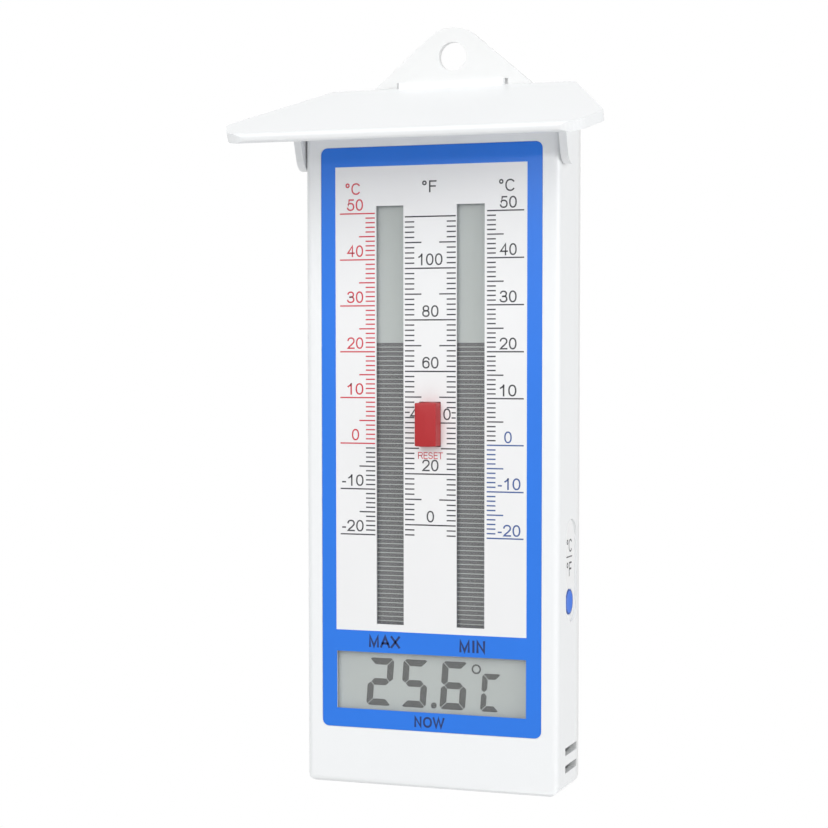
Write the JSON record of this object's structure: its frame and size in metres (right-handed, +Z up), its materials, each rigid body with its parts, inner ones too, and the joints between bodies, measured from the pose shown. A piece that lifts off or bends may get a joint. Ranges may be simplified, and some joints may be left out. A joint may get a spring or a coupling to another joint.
{
  "type": "maximum minimum thermometer",
  "caption": "Wall-hung digital maximum minimum thermometer with two bar displays, a digit display, a red clear button and a sloping rain hood.",
  "frame": {"origin": "centre of the hang hole on the plane of the wall", "axes": "+X to the right as the thermometer is read, +Y into the wall, +Z up"},
  "size_m": [0.1148, 0.0523, 0.2307],
  "materials": {
    "white_plastic": "moulded, lightly polished",
    "blue_label": "printed film",
    "white_label": "printed film",
    "clear_plastic": "clear moulded plate",
    "display_glass": "grey liquid crystal cell",
    "ivory_plastic": "moulded",
    "contact_rubber": "layered contact rubber",
    "green_board": "solder mask",
    "black_resin": "cast",
    "board_ceramic": "small soldered parts",
    "steel": "zinc plated",
    "red_plastic": "polished",
    "blue_plastic": "polished",
    "tinned_wire": "tinned",
    "cell_sleeve": "plain printed sleeve",
    "spring_steel": "nickel plated",
    "red_insulation": "smooth insulation",
    "black_insulation": "smooth insulation"
  },
  "bodies": {
    "casing": {"front_case": "white_plastic", "back_cover": "white_plastic", "rain_hood": "white_plastic", "fascia_label": "blue_label", "side_label": "white_label", "bar_window_left": "clear_plastic", "bar_window_right": "clear_plastic", "digit_window": "clear_plastic", "bar_display_left": "display_glass", "bar_display_right": "display_glass", "digit_display": "display_glass", "display_frame": "ivory_plastic", "bar_contact_strips": "contact_rubber", "digit_contact_strip": "contact_rubber", "circuit_board": "green_board", "chip_resin": "black_resin", "board_parts": "board_ceramic", "board_screws": "steel", "clear_switch": "black_resin", "unit_switch": "black_resin", "unit_switch_board": "green_board", "unit_leads": "tinned_wire", "sensor_bead": "black_resin", "sensor_leads": "tinned_wire", "battery_cell": "cell_sleeve", "plate_contact": "spring_steel", "spring_contact": "spring_steel", "red_wire": "red_insulation", "black_wire": "black_insulation", "case_screws": "steel"},
    "clear_button": {"clear_button": "red_plastic", "clear_plunger": "ivory_plastic"},
    "unit_button": {"unit_button": "blue_plastic", "unit_plunger": "ivory_plastic"},
    "battery_door": {"battery_door": "white_plastic"}
  },
  "joints": [
    {"name": "clear_press", "type": "slide", "parent": "casing", "child": "clear_button", "axis": [0, 1, 0], "range_m": [0, 0.0004], "stiffness_N_per_m": 600, "springref_m": -0.001},
    {"name": "unit_press", "type": "slide", "parent": "casing", "child": "unit_button", "axis": [-1, 0, 0], "range_m": [0, 0.0005], "stiffness_N_per_m": 600, "springref_m": -0.001},
    {"name": "battery_door_hinge", "type": "hinge", "parent": "casing", "child": "battery_door", "pos_m": [0, -0.00095, -0.13494], "axis": [1, 0, 0], "range_deg": [0, 85]}
  ]
}
